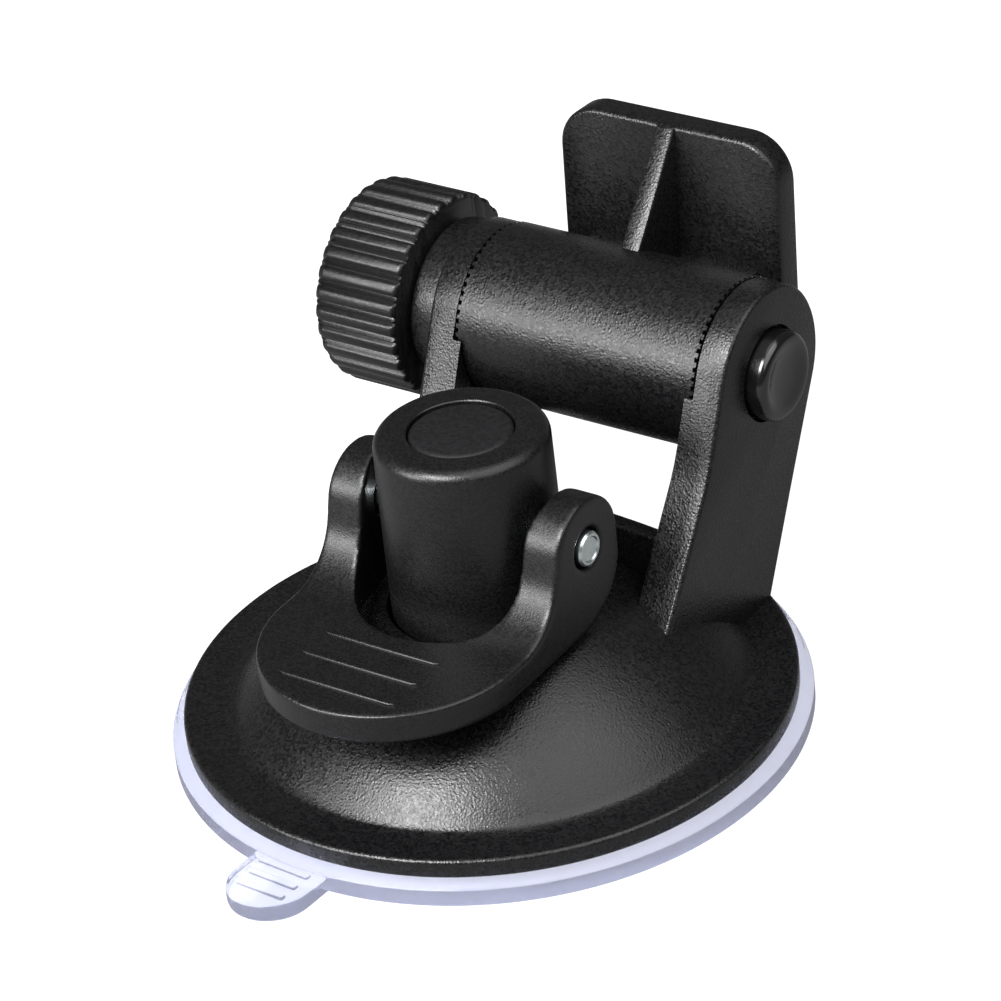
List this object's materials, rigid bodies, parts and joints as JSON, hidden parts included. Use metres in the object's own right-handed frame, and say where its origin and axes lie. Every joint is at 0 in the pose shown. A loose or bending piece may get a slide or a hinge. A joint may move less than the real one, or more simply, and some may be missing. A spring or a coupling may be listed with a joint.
{
  "type": "dash camera suction mount",
  "caption": "Windscreen suction-cup mount for a small dash camera: cam-lever cup, clamped tilting barrel and flat camera plate.",
  "frame": {"origin": "on the suction cup's axis, on the plane of the glass or table that the cup's rim rests on", "axes": "+Z out of the glass along the plunger; +Y from the plunger towards the pivot barrel and camera plate; -Y towards the lever's paddle and the pull tab; +X along the pivot bolt towards its head, with the knob at -X"},
  "size_m": [0.065, 0.0825, 0.048],
  "materials": {
    "clear_soft_pvc": "clear soft PVC, moulded, glossy",
    "black_moulded_plastic": "black ABS, fine spark-eroded mould texture",
    "smooth_black_disc": "black ABS, smooth satin",
    "zinc_plated_steel": "bright zinc plated",
    "black_oxide_steel": "black coated, glossy"
  },
  "bodies": {
    "base": {"base_housing": "black_moulded_plastic", "suction_cup": "clear_soft_pvc", "pivot_bolt": "black_oxide_steel"},
    "plunger": {"plunger_stem": "black_moulded_plastic", "plunger_cap": "black_moulded_plastic", "cap_badge": "smooth_black_disc", "lever_pin": "zinc_plated_steel"},
    "cam_lever": {"lever": "black_moulded_plastic"},
    "bracket": {"barrel_plate": "black_moulded_plastic"},
    "washer": {"knob_washer": "zinc_plated_steel"},
    "knob": {"clamp_knob": "black_moulded_plastic", "knob_nut": "zinc_plated_steel"}
  },
  "joints": [
    {"name": "lever_flip", "type": "hinge", "parent": "plunger", "child": "cam_lever", "pos_m": [0, 0, 0.0236], "axis": [-1, 0, 0], "range_deg": [0, 80]},
    {"name": "plunger_lift", "type": "slide", "parent": "base", "child": "plunger", "axis": [0, 0, 1], "range_m": [-0.0033, 0], "deforming": ["suction_cup"]},
    {"name": "plate_tilt", "type": "hinge", "parent": "base", "child": "bracket", "pos_m": [0, 0.0285, 0.029], "axis": [1, 0, 0], "range_deg": [-115, 90]},
    {"name": "knob_turn", "type": "hinge", "parent": "washer", "child": "knob", "pos_m": [0, 0.0285, 0.029], "axis": [-1, 0, 0], "range_deg": [0, 720]},
    {"name": "knob_travel", "type": "slide", "parent": "base", "child": "washer", "axis": [-1, 0, 0], "range_m": [0, 0.0016]}
  ],
  "couplings": [
    {"joint": "lever_flip", "follows": "plunger_lift", "rad_per_m": -423.1},
    {"joint": "knob_turn", "follows": "knob_travel", "rad_per_m": 7853.9}
  ]
}
